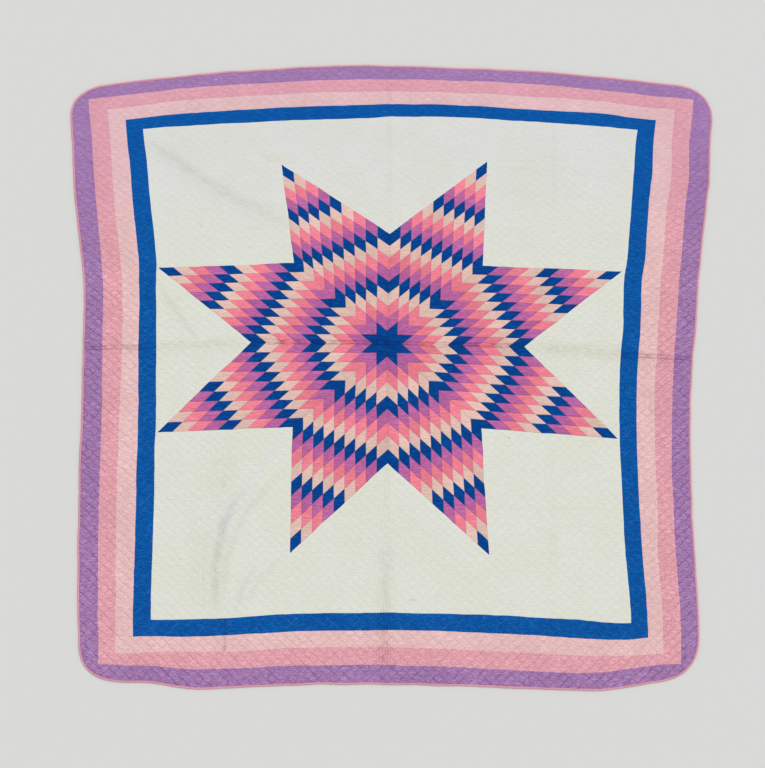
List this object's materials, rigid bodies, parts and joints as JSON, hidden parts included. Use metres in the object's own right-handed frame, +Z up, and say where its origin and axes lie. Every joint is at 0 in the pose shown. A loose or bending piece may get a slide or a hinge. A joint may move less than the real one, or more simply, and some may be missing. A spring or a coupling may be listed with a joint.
{
  "type": "blanket",
  "caption": "Hand-quilted cotton quilt with an eight-pointed star pieced from small diamonds in blue, orchid, pink and peach on white, inside four borders, laid flat, face up.",
  "frame": {"origin": "the middle of the flat underside, on the surface that the quilt lies on", "axes": "+Z up out of the patchwork face, +X across the quilt to the right and +Y along it to its top edge, as the picture shows it face on"},
  "size_m": [1.9058, 1.8574, 0.0065],
  "materials": {
    "white_cotton": "matte",
    "blue_cotton": "matte",
    "pale_pink_cotton": "matte",
    "pink_cotton": "matte",
    "lavender_cotton": "matte",
    "binding_cotton": "matte",
    "star_cotton": "matte"
  },
  "bodies": {
    "root": {"star_point_top_right": "star_cotton", "star_point_top_left": "star_cotton", "star_point_left_upper": "star_cotton", "star_point_left_lower": "star_cotton", "star_point_bottom_left": "star_cotton", "star_point_bottom_right": "star_cotton", "star_point_right_lower": "star_cotton", "star_point_right_upper": "star_cotton", "side_triangle_top": "white_cotton", "side_triangle_bottom": "white_cotton", "side_triangle_left": "white_cotton", "side_triangle_right": "white_cotton", "corner_square_top_left": "white_cotton", "corner_square_bottom_left": "white_cotton", "corner_square_bottom_right": "white_cotton", "corner_square_top_right": "white_cotton", "white_strip_top": "white_cotton", "white_strip_bottom": "white_cotton", "blue_strip_left": "blue_cotton", "blue_strip_top": "blue_cotton", "blue_strip_right": "blue_cotton", "blue_strip_bottom": "blue_cotton", "pale_strip_left": "pale_pink_cotton", "pale_strip_top": "pale_pink_cotton", "pale_strip_right": "pale_pink_cotton", "pale_strip_bottom": "pale_pink_cotton", "pink_strip_left": "pink_cotton", "pink_strip_top": "pink_cotton", "pink_strip_right": "pink_cotton", "pink_strip_bottom": "pink_cotton", "lavender_strip_left": "lavender_cotton", "lavender_strip_top": "lavender_cotton", "lavender_strip_right": "lavender_cotton", "lavender_strip_bottom": "lavender_cotton", "binding_left": "binding_cotton", "binding_bottom": "binding_cotton", "binding_right": "binding_cotton", "binding_top": "binding_cotton"}
  },
  "joints": []
}
